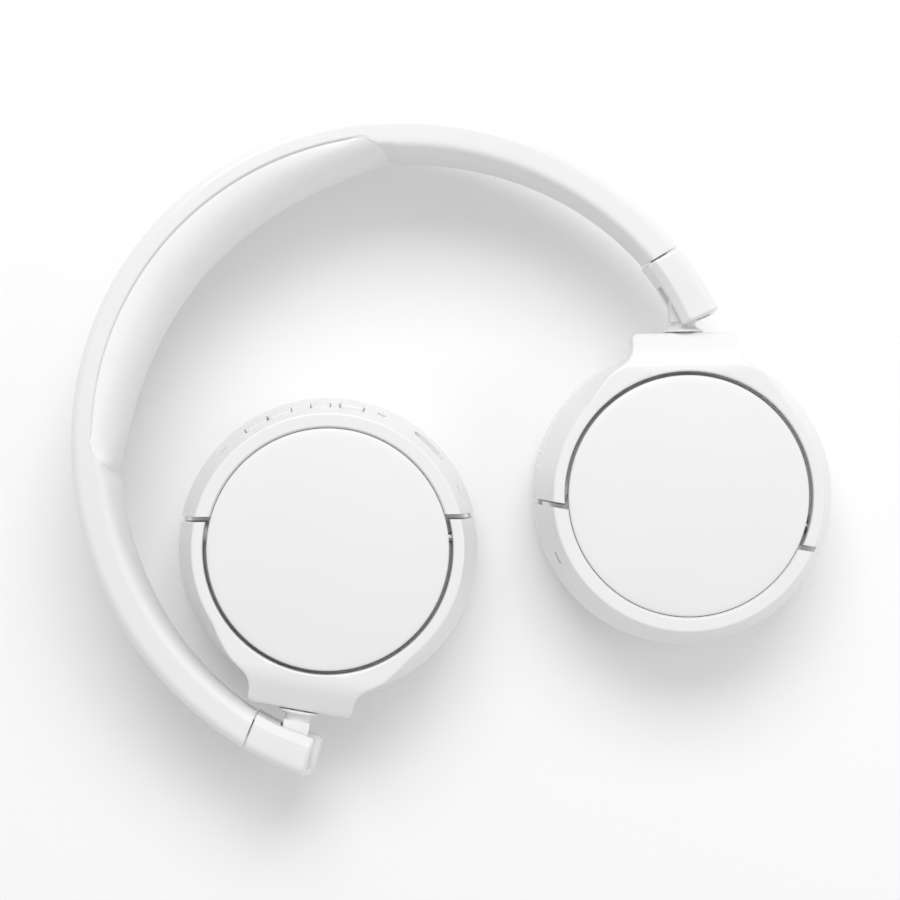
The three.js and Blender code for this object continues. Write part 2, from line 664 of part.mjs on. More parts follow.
const cupPieces = (openings) => [
  ['hinge_stem', stemBody(), whiteShell],
  ['swivel_post', bar(2.3, [0, 31.2, BAND_PLANE], [0, NECK_LENGTH - 4.3, BAND_PLANE], 24), steel],
  ['swivel_clip', clipRing(), steel],
  ['yoke', yokeBody(), whiteShell],
  ['pivot_pin_near', bar(PIN_DIAMETER / 2, pivotEnds()[0][0](25), pivotEnds()[0][1](32.9)), steel],
  ['pivot_pin_far', bar(PIN_DIAMETER / 2, pivotEnds()[1][0](25), pivotEnds()[1][1](32.9)), steel],
  ['cup_housing', housingBody(openings), whiteShell],
  ['outer_cap', capBody(), whiteSatin],
  ['baffle', baffleBody(), whiteSatin],
  ['baffle_screw_a', screwBody(screwSpots[0]), steel],
  ['baffle_screw_b', screwBody(screwSpots[1]), steel],
  ['driver_frame', driverFrame(), darkPlastic],
  ['driver_magnet', magnetBody(), steel],
  ['driver_diaphragm', diaphragm(), membrane],
  ['driver_cloth', gridCloth(), blackCloth],
  ['ear_pad_ring', padRing(), whiteSatin],
  ['ear_pad', padBody(), whiteLeather],
];

const leftOnly = [
  ...controls.map(([name, a, b, lift]) => [name, buttonBody(a, b, lift), whiteSatin]),
  ['charge_socket', aimed(chargeSocket(), chargeAngle, CHARGE_HEIGHT), steel],
  ['status_lamp', aimed(lampBody(), lampAngle, 22.4), lamp],
  ['microphone_mesh_a', aimed(micInsert(), micAngles[0], 23), darkPlastic],
  ['microphone_mesh_b', aimed(micInsert(), micAngles[1], 23), darkPlastic],
  ['button_board', buttonBoard(), boardGreen],
  ['main_board', mainBoard(), boardGreen],
];

const rightOnly = [
  ['microphone_mesh', aimed(micInsert(), RIGHT_MIC_ANGLE, 23), darkPlastic],
  ['battery', box(-15, 15, -10, 10, 22.5, 24.6), batteryFoil],
];

const placeCup = (side, fold, pieces) => {
  const group = new THREE.Group();
  const [px, py] = pinPoint();
  // Direction from the hinge to the cup, in row degrees from +X, for the right-hand side.
  const toCup = -UNFOLDED_ANGLE - fold;
  const angle = side > 0 ? toCup : 180 - toCup;
  group.position.set(
    side * px + NECK_LENGTH * Math.cos(rad(angle)),
    py + NECK_LENGTH * Math.sin(rad(angle)),
    0,
  );
  group.rotation.z = rad(angle + 90);
  for (const [name, geometry, look] of pieces) {
    const prefix = side > 0 ? 'right_' : 'left_';
    addTo(group, prefix + name, side > 0 ? geometry : mirrored(geometry), look);
  }
  root.add(group);
};

placeCup(1, RIGHT_FOLD, [...cupPieces(rightOpenings), ...rightOnly]);
placeCup(-1, LEFT_FOLD, [...cupPieces(leftOpenings), ...leftOnly]);

// The origin is the middle of the footprint, on the table.
const bounds = new THREE.Box3().setFromObject(root, true);
const middle = bounds.getCenter(new THREE.Vector3());
root.position.set(-middle.x, -middle.y, -bounds.min.z);

export default root;
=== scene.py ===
"""Looks for the folded wireless headphones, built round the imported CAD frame.

Shapes are in millimetres until make() scales them, lights and camera in metres. Angles are in degrees.
"""

import json
import math

import bmesh
import bpy
import numpy as np
from mathutils import Euler, Matrix, Vector, noise


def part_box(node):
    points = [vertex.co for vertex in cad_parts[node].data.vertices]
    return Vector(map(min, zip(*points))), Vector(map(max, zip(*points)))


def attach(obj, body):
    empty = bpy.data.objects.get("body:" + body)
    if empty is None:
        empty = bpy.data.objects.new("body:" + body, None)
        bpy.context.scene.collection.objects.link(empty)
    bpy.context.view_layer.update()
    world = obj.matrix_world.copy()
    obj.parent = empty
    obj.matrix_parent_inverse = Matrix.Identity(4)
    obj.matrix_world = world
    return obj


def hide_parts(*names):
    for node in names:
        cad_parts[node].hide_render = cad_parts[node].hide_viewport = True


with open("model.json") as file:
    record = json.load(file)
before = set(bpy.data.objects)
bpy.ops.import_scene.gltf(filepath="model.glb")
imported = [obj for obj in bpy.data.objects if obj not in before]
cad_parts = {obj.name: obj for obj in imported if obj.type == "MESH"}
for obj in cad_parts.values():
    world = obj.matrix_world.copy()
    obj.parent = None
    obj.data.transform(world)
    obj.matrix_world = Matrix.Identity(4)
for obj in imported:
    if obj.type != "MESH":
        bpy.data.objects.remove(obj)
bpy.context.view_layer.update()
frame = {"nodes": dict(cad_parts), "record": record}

MM = 0.001
SIDES = ("right", "left")

# ------------------------------------------------------------------ the frame's own dimensions
# Headband: two radii that meet at +-CROWN_HALF, the line where the slider starts, and the slider's end.
CROWN_R, SIDE_R, CROWN_HALF = 78.4, 86.4, 30.0
PART_LINE, SLIDER_END = 99.2, 111.6
BAND_Z = 22.0
CROWN_W, PART_W, END_W = 35.0, 19.0, 16.5
SHELL_DEPTH, LINER_DEPTH, WALL = 6.0, 9.0, 1.8
ARC_DEGREE = math.radians(1) * 85  # length of one degree of the band, at a middling radius
ROUND = 2.6  # exponent of the arm's rounded inner side: 2 is an ellipse, more is squarer
# Headband cushion: where its ends start to round off, where they end, and the depth of its face and seam.
CUSHION_ARCH, CUSHION_TIP = 41.4, 45.6
CUSHION_DEPTH, SEAM_DEPTH = 16.0, 5.0
# Slider: how far the inner edge of its joint leans back, how much further its end reaches on the outside,
# and how far the front wall stops short there.
JOINT_LEAN, END_REACH = 1.2, 0.45
SLANT = {"right": 0.7, "left": 2.2}
# Fold hinge: its distance from the cup's centre, and its place on the band.
NECK_LENGTH = 49.2
NECK_TOP = NECK_LENGTH - 9.1
PIN_ANGLE, PIN_ON_ARC, PIN_R = 106.6, 80.7, 1.8
POST_R = 2.6
# Ear cup, in its own frame: centre at the origin, the neck towards +Y, the cap facing +Z.
FRONT = 30.0
NECK_HALF, NECK_CORNER = 13, 1.5
YOKE_R, YOKE_FOOT_R, YOKE_BOTTOM = 30.5, 36.9, 18.2
RIM_R, RIM_EDGE, RIM_SPREAD = 33.4, FRONT - 0.5, 4
CHORD_SKEW, CHORD_OFFSET, NOTCH = -10.8, -7.7, 1.3
PIVOT_Y, PIVOT_Z, PIVOT_SKEW = -3.33, 24.0, -9.2
PIVOT_R, BOSS_R, POCKET_R = 1.8, 2.8, 4.2
DRUM_R, DRUM_TOP, DRUM_BOTTOM = 29.3, 27.6, 15.5
CAP_R, CAP_FACE_R, CAP_GAP, CAP_RISE = 29.6, 29.0, 0.3, 1.1


def centre(node):
    lo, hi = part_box(node)
    return (np.array(lo) + np.array(hi)) / 2 / MM


PIN = {side: centre(f"{side}_hinge_pin") for side in SIDES}
CUP = {side: centre(f"{side}_outer_cap") for side in SIDES}
BAND_Y = PIN["right"][1] - (
    -(SIDE_R - CROWN_R) * math.cos(math.radians(CROWN_HALF))
    + PIN_ON_ARC * math.cos(math.radians(PIN_ANGLE))
)

# ------------------------------------------------------------------ mesh helpers


def smoothstep(a, b, x):
    t = min(1.0, max(0.0, (x - a) / (b - a)))
    return t * t * (3 - 2 * t)


def rounded(points, radii, seg):
    """A closed outline with every corner rounded; it always has len(points) * (seg + 1) points."""
    out = []
    n = len(points)
    for i in range(n):
        p, before, after = (np.array(points[k % n], float) for k in (i, i - 1, i + 1))
        u, v = before - p, after - p
        lu, lv = np.linalg.norm(u), np.linalg.norm(v)
        u, v = u / lu, v / lv
        angle = math.acos(max(-1.0, min(1.0, float(u @ v))))
        turn = math.pi - angle
        if turn < 0.02:  # hardly a corner: spread the points along the line
            d = 0.3 * min(lu, lv)
            out += [p - v * d * (1 - 2 * k / seg) for k in range(seg + 1)]
            continue
        half = max(angle / 2, 1e-3)
        d = min(max(radii[i], 1e-3) / math.tan(half), 0.46 * lu, 0.46 * lv)
        r = d * math.tan(half)
        bisector = (u + v) / np.linalg.norm(u + v)
        c = p + bisector * (r / math.sin(half))
        start, end = p + u * d - c, p + v * d - c
        for k in range(seg + 1):
            t = k / seg
            out.append(c + (math.sin((1 - t) * turn) * start + math.sin(t * turn) * end) / math.sin(turn))
    return np.array(out)


def inset(outline, d):
    """The outline moved inwards by d."""
    ahead = np.roll(outline, -1, 0) - outline
    behind = outline - np.roll(outline, 1, 0)
    ahead /= np.linalg.norm(ahead, axis=1)[:, None] + 1e-12
    behind /= np.linalg.norm(behind, axis=1)[:, None] + 1e-12
    along = ahead + behind
    along /= np.linalg.norm(along, axis=1)[:, None] + 1e-12
    x, y = outline.T
    area = 0.5 * np.sum(x * np.roll(y, -1) - np.roll(x, -1) * y)
    normal = np.c_[-along[:, 1], along[:, 0]] * (1 if area > 0 else -1)
    return outline + normal * d


def make(name, verts, faces, sharp):
    """A smooth-shaded mesh object in metres from points in millimetres."""
    mesh = bpy.data.meshes.new(name)
    mesh.from_pydata([tuple(np.array(v) * MM) for v in verts], [], faces)
    mesh.validate()
    obj = bpy.data.objects.new(name, mesh)
    bpy.context.scene.collection.objects.link(obj)
    fix_normals(obj)
    mesh.shade_smooth()
    mesh.set_sharp_from_angle(angle=math.radians(sharp))
    return obj


def fix_normals(obj):
    bm = bmesh.new()
    bm.from_mesh(obj.data)
    bmesh.ops.recalc_face_normals(bm, faces=bm.faces)
    if bm.calc_volume(signed=True) < 0:
        bmesh.ops.reverse_faces(bm, faces=bm.faces)
    bm.to_mesh(obj.data)
    bm.free()


def skin(name, rings, loop=False, sharp=35.0):
    """A surface through rows of equal closed rings. Its two ends are capped, or joined in a loop."""
    rings = [np.asarray(r, float) for r in rings]
    n, m = len(rings), len(rings[0])
    faces = []
    for i in range(n if loop else n - 1):
        for j in range(m):
            a, b = i * m + j, i * m + (j + 1) % m
            c, d = ((i + 1) % n) * m + (j + 1) % m, ((i + 1) % n) * m + j
            faces.append((a, b, c, d))
    if not loop:
        faces.append(tuple(range(m))[::-1])
        faces.append(tuple(range((n - 1) * m, n * m)))
    return make(name, np.concatenate(rings), faces, sharp)


def polar(theta, outline):
    """A (radius, height) outline stood up at an angle round the Z axis."""
    a = math.radians(theta)
    return [(r * math.cos(a), r * math.sin(a), z) for r, z in outline]


def turned(name, outline, segments, sharp=35.0):
    """A closed (radius, height) outline turned about Z."""
    rings = [polar(360 * i / segments, outline) for i in range(segments)]
    return skin(name, rings, loop=True, sharp=sharp)


def dome(name, profile, segments, sharp=35.0):
    """A profile from the axis outwards and back to the axis, turned about Z."""
    verts, faces = [(profile[0][0], 0, profile[0][1])], []
    inner = profile[1:-1]
    for i in range(segments):
        a = 2 * math.pi * i / segments
        verts += [(r * math.cos(a), r * math.sin(a), z) for r, z in inner]
    verts.append((profile[-1][0], 0, profile[-1][1]))
    m, last = len(inner), len(verts) - 1
    for i in range(segments):
        p, q = 1 + i * m, 1 + ((i + 1) % segments) * m
        faces.append((0, p, q))
        faces += [(p + k, p + k + 1, q + k + 1, q + k) for k in range(m - 1)]
        faces.append((p + m - 1, last, q + m - 1))
    return make(name, verts, faces, sharp)


def bar(name, radius, a, b, segments=40, end=0.0):
    """A round bar from a to b, its end edges eased over end."""
    a, b = Vector(a), Vector(b)
    axis = (b - a).normalized()
    x = axis.orthogonal().normalized()
    y = axis.cross(x)
    length = (b - a).length
    stops = [(0.0, end), (end * 0.3, end * 0.3), (end, 0.0)] if end else [(0.0, 0.0)]
    stops = stops + [(length - s, e) for s, e in stops[::-1]]
    rings = []
    for s, e in stops:
        r = radius - e
        turns = np.linspace(0, 2 * math.pi, segments, endpoint=False)
        rings.append([a + axis * s + (x * math.cos(t) + y * math.sin(t)) * r for t in turns])
    return skin(name, rings)


def set_points(obj, co):
    obj.data.vertices.foreach_set("co", co.astype(np.float32).ravel())
    obj.data.update()


def apply(obj):
    """Puts the modifiers' result into the mesh."""
    deps = bpy.context.evaluated_depsgraph_get()
    mesh = bpy.data.meshes.new_from_object(obj.evaluated_get(deps))
    obj.modifiers.clear()
    old = obj.data
    obj.data = mesh
    mesh.name = obj.name
    if not old.users:
        bpy.data.meshes.remove(old)
    return obj


def drop(obj):
    mesh = obj.data
    bpy.data.objects.remove(obj)
    if not mesh.users:
        bpy.data.meshes.remove(mesh)


def boolean(obj, tools, operation="DIFFERENCE"):
    """Cuts, joins or intersects the piece with each tool, and removes the tools."""
    for tool in tools:
        mod = obj.modifiers.new("cut", "BOOLEAN")
        mod.operation, mod.object, mod.solver = operation, tool, "MANIFOLD"
    apply(obj)
    for tool in tools:
        drop(tool)
    obj.data.shade_smooth()
    obj.data.set_sharp_from_angle(angle=math.radians(32))
    return obj


def soften(obj, width, segments=2, limit=40.0):
    """Bevels the edges that turn by more than limit."""
    mod = obj.modifiers.new("soft edges", "BEVEL")
    mod.width, mod.segments = width * MM, segments
    mod.limit_method, mod.angle_limit = "ANGLE", math.radians(limit)
    mod.miter_outer = "MITER_ARC"
    apply(obj)
    obj.data.shade_smooth()
    obj.data.set_sharp_from_angle(angle=math.radians(50))
    return obj


def weigh(obj):
    mod = obj.modifiers.new("weighted normals", "WEIGHTED_NORMAL")
    mod.keep_sharp, mod.weight = True, 80
    return obj


def mirror(obj):
    obj.data.transform(Matrix.Scale(-1, 4, (1, 0, 0)))
    obj.data.flip_normals()
    return obj


def place(obj, side):
    """Takes a piece made in the right cup's own frame to its place on either side."""
    if side == "left":
        mirror(obj)
    to_pin = PIN[side] - CUP[side]
    turn = math.atan2(to_pin[1], to_pin[0]) - math.pi / 2
    spot = Vector((CUP[side][0] * MM, CUP[side][1] * MM, 0))
    obj.data.transform(Matrix.Translation(spot) @ Matrix.Rotation(turn, 4, "Z"))
    return obj


# ------------------------------------------------------------------ materials


def nodes_of(name):
    mat = bpy.data.materials.new(name)
    mat.use_nodes = True
    tree = mat.node_tree
    return mat, tree, tree.nodes["Principled BSDF"]


def link_noise(tree, scale, detail=3.0, kind="ShaderNodeTexNoise"):
    """A texture that lies on the piece's own coordinates."""
    coords = tree.nodes.new("ShaderNodeTexCoord")
    tex = tree.nodes.new(kind)
    tex.inputs["Scale"].default_value = scale
    if "Detail" in tex.inputs:
        tex.inputs["Detail"].default_value = detail
    tree.links.new(coords.outputs["Object"], tex.inputs["Vector"])
    return tex


def ramp(tree, source, *stops):
    """A colour ramp between two (position, colour) stops."""
    node = tree.nodes.new("ShaderNodeValToRGB")
    for element, (position, colour) in zip(node.color_ramp.elements, stops):
        element.position, element.color = position, colour
    tree.links.new(source, node.inputs["Fac"])
    return node


def span(tree, source, low, high):
    """Maps 0..1 to low..high."""
    node = tree.nodes.new("ShaderNodeMapRange")
    node.inputs["To Min"].default_value, node.inputs["To Max"].default_value = low, high
    tree.links.new(source, node.inputs["Value"])
    return node


def grey(v, tint=(1, 1, 1)):
    return (v * tint[0], v * tint[1], v * tint[2], 1)


def bump(tree, shader, heights, strength, distance):
    node = tree.nodes.new("ShaderNodeBump")
    node.inputs["Strength"].default_value = strength
    node.inputs["Distance"].default_value = distance
    tree.links.new(heights, node.inputs["Height"])
    tree.links.new(node.outputs["Normal"], shader.inputs["Normal"])
    return node


def plastic(name, tone, rough, spread=0.05, coat=0.0, tint=(1, 1, 1), grain=0.06):
    """Moulded plastic: faint colour drift, patchy gloss, and a fine moulded grain."""
    mat, tree, shader = nodes_of(name)
    drift = link_noise(tree, 28.0, 2.0)
    colour = ramp(tree, drift.outputs["Fac"], (0.3, grey(tone * 0.985, tint)), (0.7, grey(tone, tint)))
    tree.links.new(colour.outputs["Color"], shader.inputs["Base Color"])
    patches = link_noise(tree, 160.0, 5.0)
    gloss = span(tree, patches.outputs["Fac"], rough - spread, rough + spread)
    tree.links.new(gloss.outputs["Result"], shader.inputs["Roughness"])
    fine = link_noise(tree, 2600.0, 2.0)
    bump(tree, shader, fine.outputs["Fac"], grain, 0.00004)
    shader.inputs["Coat Weight"].default_value = coat
    shader.inputs["Coat Roughness"].default_value = 0.12
    return mat


def leatherette(name, tone, tint=(1, 1, 1)):
    """Soft coated fabric: pebbled grain over finer creases."""
    mat, tree, shader = nodes_of(name)
    drift = link_noise(tree, 45.0, 4.0)
    colour = ramp(tree, drift.outputs["Fac"], (0.3, grey(tone * 0.97, tint)), (0.75, grey(tone, tint)))
    pebble = link_noise(tree, 1500.0, kind="ShaderNodeTexVoronoi")
    pebble.feature = "SMOOTH_F1"
    pebble.inputs["Smoothness"].default_value = 0.6
    crease = link_noise(tree, 420.0, 6.0)
    mix = tree.nodes.new("ShaderNodeMath")
    mix.operation = "MULTIPLY_ADD"
    mix.inputs[1].default_value = 0.6
    tree.links.new(pebble.outputs["Distance"], mix.inputs[0])
    tree.links.new(crease.outputs["Fac"], mix.inputs[2])
    tree.links.new(colour.outputs["Color"], shader.inputs["Base Color"])
    gloss = span(tree, crease.outputs["Fac"], 0.42, 0.62)
    tree.links.new(gloss.outputs["Result"], shader.inputs["Roughness"])
    bump(tree, shader, mix.outputs["Value"], 0.35, 0.00012)
    shader.inputs["Sheen Weight"].default_value = 0.08
    shader.inputs["Sheen Roughness"].default_value = 0.4
    return mat


def metal(name, tone, rough):
    """Drawn steel with fine streaks."""
    mat, tree, shader = nodes_of(name)
    coords = tree.nodes.new("ShaderNodeTexCoord")
    stretch = tree.nodes.new("ShaderNodeMapping")
    stretch.inputs["Scale"].default_value = (1, 1, 22)
    streaks = tree.nodes.new("ShaderNodeTexNoise")
    streaks.inputs["Scale"].default_value = 420.0
    tree.links.new(coords.outputs["Object"], stretch.inputs["Vector"])
    tree.links.new(stretch.outputs["Vector"], streaks.inputs["Vector"])
    colour = ramp(tree, streaks.outputs["Fac"], (0.3, grey(tone * 0.85)), (0.7, grey(tone)))
    tree.links.new(colour.outputs["Color"], shader.inputs["Base Color"])
    gloss = span(tree, streaks.outputs["Fac"], rough - 0.08, rough + 0.1)
    tree.links.new(gloss.outputs["Result"], shader.inputs["Roughness"])
    bump(tree, shader, streaks.outputs["Fac"], 0.08, 0.00002)
    shader.inputs["Metallic"].default_value = 1.0
    return mat


def woven(name, tone, pitch):
    """Plain weave from two crossed waves."""
    mat, tree, shader = nodes_of(name)
    coords = tree.nodes.new("ShaderNodeTexCoord")
    waves = []
    for direction in ("X", "Y"):
        wave = tree.nodes.new("ShaderNodeTexWave")
        wave.bands_direction = direction
        wave.inputs["Scale"].default_value = 0.31 / pitch
        wave.inputs["Distortion"].default_value = 0.4
        tree.links.new(coords.outputs["Object"], wave.inputs["Vector"])
        waves.append(wave)
    mix = tree.nodes.new("ShaderNodeMath")
    mix.operation = "MAXIMUM"
    tree.links.new(waves[0].outputs["Fac"], mix.inputs[0])
    tree.links.new(waves[1].outputs["Fac"], mix.inputs[1])
    colour = ramp(tree, mix.outputs["Value"], (0.2, grey(tone * 0.3)), (0.8, grey(tone)))
    tree.links.new(colour.outputs["Color"], shader.inputs["Base Color"])
    bump(tree, shader, mix.outputs["Value"], 0.6, 0.0001)
    shader.inputs["Roughness"].default_value = 0.9
    return mat


WHITE = (1.0, 1.0, 1.005)
WHITE_TONE = 0.82
LOOK = {
    "white_shell": plastic("white_shell", WHITE_TONE, 0.3, coat=0.25, tint=WHITE),
    "white_satin": plastic("white_satin", WHITE_TONE, 0.38, coat=0.1, tint=WHITE, grain=0.1),
    "white_leatherette": leatherette("white_leatherette", 0.88, WHITE),
    "steel": metal("steel", 0.55, 0.3),
    "dark_plastic": plastic("dark_plastic", 0.05, 0.5, grain=0.2),
    "black_cloth": woven("black_cloth", 0.03, 0.0006),
    "circuit_board": plastic("circuit_board", 0.12, 0.45, tint=(0.2, 1.0, 0.5)),
    "battery_foil": metal("battery_foil", 0.4, 0.4),
    "driver_film": plastic("driver_film", 0.6, 0.25, tint=(1, 1.02, 1.04)),
    "lamp_lens": plastic("lamp_lens", 0.75, 0.12, coat=0.6, tint=(0.95, 0.98, 1.05)),
}
SLOT = {s["node"]: s["material_slot"] for s in frame["record"]["subparts"]}


def look(obj, slot):
    obj.data.materials.clear()
    obj.data.materials.append(LOOK[slot])
    return obj


for node, cad in frame["nodes"].items():
    look(cad, SLOT[node])
    cad.data.shade_smooth()
    cad.data.set_sharp_from_angle(angle=math.radians(30))


def finish_piece(obj, body, slot, node):
    """Gives the piece its material and body, in the place of a CAD node."""
    look(obj, slot)
    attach(obj, body)
    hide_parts(node)
    return obj


# ------------------------------------------------------------------ headband


def on_band(t, depth):
    """A point on the band's line at normal angle t (degrees), that deep from the outer face."""
    a = math.radians(t)
    if abs(t) <= CROWN_HALF:
        return (CROWN_R - depth) * math.sin(a), BAND_Y + (CROWN_R - depth) * math.cos(a)
    off, half = SIDE_R - CROWN_R, math.radians(CROWN_HALF)
    cx, cy = -math.copysign(off * math.sin(half), t), -off * math.cos(half)
    return cx + (SIDE_R - depth) * math.sin(a), BAND_Y + cy + (SIDE_R - depth) * math.cos(a)


def band_width(t):
    w = CROWN_W + (PART_W - CROWN_W) * smoothstep(CROWN_HALF, PART_LINE, abs(t))
    return w + (END_W - PART_W) * smoothstep(PART_LINE, SLIDER_END, abs(t))


def band_ring(t, outline):
    """An outline set on the band at t. Its last degrees lean, inner edge nearer to the crown."""
    near = smoothstep(PART_LINE - 12, PART_LINE, abs(t))
    lean = math.copysign(JOINT_LEAN * near / LINER_DEPTH, t)
    out = []
    for depth, z in outline:
        x, y = on_band(t - lean * depth, depth)
        out.append((x, y, BAND_Z + z))
    return out


def eased_ends(stops, outline_at, ring_at, radius):
    """Rings along stops, with the two end edges rounded over radius."""
    rings = []
    reach = radius / ARC_DEGREE
    steps = [(1 - math.cos(a), 1 - math.sin(a)) for a in np.radians([0, 30, 60])]
    for along, ins in steps:
        rings.append(ring_at(stops[0] + along * reach, inset(outline_at(stops[0]), ins * radius)))
    first, last = stops[0] + reach, stops[-1] - reach
    for t in [first] + [t for t in stops if first < t < last] + [last]:
        rings.append(ring_at(t, outline_at(t)))
    for along, ins in steps[::-1]:
        rings.append(ring_at(stops[-1] - along * reach, inset(outline_at(stops[-1]), ins * radius)))
    return rings


def beside_cushion(t):
    """0 along the cushion, 1 where the bare liner starts."""
    return smoothstep(CUSHION_ARCH - 0.6, CUSHION_ARCH + 2.6, abs(t))


def under_arch(t):
    """0 along the cushion, 1 from where its seam leaves the shell's edge."""
    return smoothstep(CUSHION_ARCH - 2.8, CUSHION_ARCH - 0.8, abs(t))


def liner_depth(t):
    """Depth of the bare liner's face: it stands up past the cushion's tip, then sinks again down the arm."""
    a = abs(t)
    up = 1.0 * smoothstep(CUSHION_TIP - 0.2, CUSHION_TIP + 1.6, a)
    down = 1.3 * smoothstep(CUSHION_TIP + 3, PART_LINE, a)
    return LINER_DEPTH + 0.3 + up - down


def shell_outline(t):
    """A shallow channel with a crowned back and a rounded lip along the cushion."""
    w = band_width(t) / 2
    i = w - WALL
    bare = beside_cushion(t)
    d = SEAM_DEPTH + (SHELL_DEPTH - SEAM_DEPTH) * bare
    points = [(d, -w), (0.15, -w), (0, 0), (0.15, w), (d, w), (d, i), (WALL, i), (WALL, -i), (d, -i)]
    lip = 0.5 - 0.48 * bare
    return rounded(points, [lip, 2.6, 30, 2.6, lip, 0.2, 1.0, 1.0, 0.2], 6)


def liner_outline(t):
    """Low and narrow under the cushion; beside it, the rounded inner side of the arm."""
    raised = beside_cushion(t)
    w = band_width(t) / 2 - 1.3 * (1 - under_arch(t))
    start = 4.9 + (SHELL_DEPTH - 4.9) * raised
    depth = 6.6 + (liner_depth(t) - 6.6) * raised
    points = [(start, -w), (start, w)]
    for a in np.linspace(0.0, math.pi, 41):
        c, h = math.cos(a), max(0.0, math.sin(a))
        across = math.copysign(abs(c) ** (2 / ROUND), c)
        points.append((start + 0.02 + (depth - start - 0.02) * h ** (2 / ROUND), across * w))
    return points


even_stops = np.linspace(-PART_LINE, PART_LINE, 150)
arch_stops = [s * (CUSHION_ARCH - 1.7 + 0.25 * k) for k in range(18) for s in (-1, 1)]
band_stops = sorted(set(even_stops) | set(arch_stops))
shell = skin("band_shell_skin", eased_ends(band_stops, shell_outline, band_ring, 0.35))
finish_piece(weigh(shell), "headband", "white_shell", "headband_shell")
liner = skin("band_liner_skin", [band_ring(t, liner_outline(t)) for t in band_stops])
finish_piece(weigh(liner), "headband", "white_satin", "headband_liner")

# ------------------------------------------------------------------ soft pieces
SIM_SCALE, SIM_FRAMES = 10.0, 20


def puff(obj, pinned, limit):
    """Blows the piece up with Cloth, at SIM_SCALE times its size.

    The pinned points stay where they are, and the others within limit of where they were."""
    start = np.array([v.co for v in obj.data.vertices])
    obj.data.transform(Matrix.Scale(SIM_SCALE, 4))
    group = obj.vertex_groups.new(name="pin")
    group.add([int(i) for i in pinned], 1.0, "REPLACE")
    mod = obj.modifiers.new("cloth", "CLOTH")
    cloth = mod.settings
    cloth.quality, cloth.mass = 6, 0.2
    cloth.tension_stiffness = cloth.compression_stiffness = 18
    cloth.shear_stiffness, cloth.bending_stiffness = 8, 0.8
    cloth.use_pressure, cloth.uniform_pressure_force = True, 3.0
    cloth.vertex_group_mass = "pin"
    cloth.effector_weights.gravity = 0.0
    mod.collision_settings.use_collision = False
    mod.point_cache.frame_start, mod.point_cache.frame_end = 1, SIM_FRAMES
    scene = bpy.context.scene
    for f in range(1, SIM_FRAMES + 1):
        scene.frame_set(f)
    apply(obj)
    scene.frame_set(1)
    obj.vertex_groups.clear()
    move = np.array([v.co for v in obj.data.vertices]) / SIM_SCALE - start
    length = np.linalg.norm(move, axis=1)
    cap = limit * MM
    scale = np.where(length > 1e-9, cap * np.tanh(length / cap) / np.maximum(length, 1e-9), 1.0)
    set_points(obj, start + move * scale[:, None])
    return obj


def subdivided(obj):
    mod = obj.modifiers.new("smooth", "SUBSURF")
    mod.levels = mod.render_levels = 1
    apply(obj)
    obj.data.shade_smooth()
    return obj


def even(obj, pinned, rounds):
    """Irons out the small ripples of a filled cover, leaving its seams where they are."""
    mesh = obj.data
    co = np.array([v.co for v in mesh.vertices])
    ends = np.array([e.vertices for e in mesh.edges])
    free = np.ones(len(co), bool)
    free[[int(i) for i in pinned]] = False
    count = np.bincount(ends.ravel(), minlength=len(co))[:, None]
    for _ in range(rounds):
        total = np.zeros_like(co)
        np.add.at(total, ends[:, 0], co[ends[:, 1]])
        np.add.at(total, ends[:, 1], co[ends[:, 0]])
        co[free] += 0.5 * (total / count - co)[free]
    set_points(obj, co)
    return obj


def shift(obj, by):
    """Moves every point (x, y, z) by by(x, y, z), all in millimetres."""
    co = np.array([v.co for v in obj.data.vertices]) / MM
    moved = np.array([p + np.array(by(*p)) for p in co])
    set_points(obj, moved * MM)
    return obj


# The headband cushion: one panel sewn down along both edges and round its arched ends.
ACROSS = 34  # cells from seam to seam
FULL = 0.84  # fullness of the panel's section: 1 is an ellipse, less is squarer


def cushion_ring(t):
    """The panel from seam to seam, then the flat back."""
    w, a = band_width(t) / 2, abs(t)
    u = min(0.999, max(0.0, (a - CUSHION_ARCH) / (CUSHION_TIP - CUSHION_ARCH)))
    half = (w + 0.1) * (1 - u ** (1.5 * ROUND)) ** (1 / ROUND)
    seam = SEAM_DEPTH + (LINER_DEPTH + 0.2 - SEAM_DEPTH) * u ** 1.5
    low, high = LINER_DEPTH + 0.5, CUSHION_DEPTH - 1.0
    top = low + (high - low) * (1 - (a / (CUSHION_TIP + 0.2)) ** 2.4)
    points = []
    for k in range(ACROSS + 1):
        c, h = math.cos(math.pi * k / ACROSS), math.sin(math.pi * k / ACROSS)
        v = math.copysign(abs(c) ** FULL, c)
        lift = max(0.0, h) ** FULL
        pinch = 0.75 * (1 - under_arch(t)) * max(0.0, 1 - lift / 0.26) ** 2
        points.append((seam + (top - seam) * lift, v * (half - min(pinch, half * 0.3))))
    back = seam - 0.9
    points += [(back, z) for z in np.linspace(-half * 0.9, half * 0.9, 12)]
    return points


arch_length = CUSHION_TIP - CUSHION_ARCH
arch = [CUSHION_ARCH + arch_length * math.sin(a) for a in np.linspace(0.06, math.pi / 2, 18)]
middle = list(np.linspace(-CUSHION_ARCH, CUSHION_ARCH, 78))
cushion_rings = [band_ring(t, cushion_ring(t)) for t in [-t for t in arch[::-1]] + middle + arch]
per_ring, last_ring = len(cushion_rings[0]), len(cushion_rings) - 1
cushion = skin("band_cushion", cushion_rings, sharp=180)
pins = [i * per_ring + j for i in range(last_ring + 1) for j in range(per_ring)
        if j == 0 or j >= ACROSS or i in (0, last_ring)]
puff(cushion, pins, 1.1)
even(cushion, pins, 6)
subdivided(cushion)
finish_piece(cushion, "headband", "white_leatherette", "headband_cushion")

# ------------------------------------------------------------------ slider ends


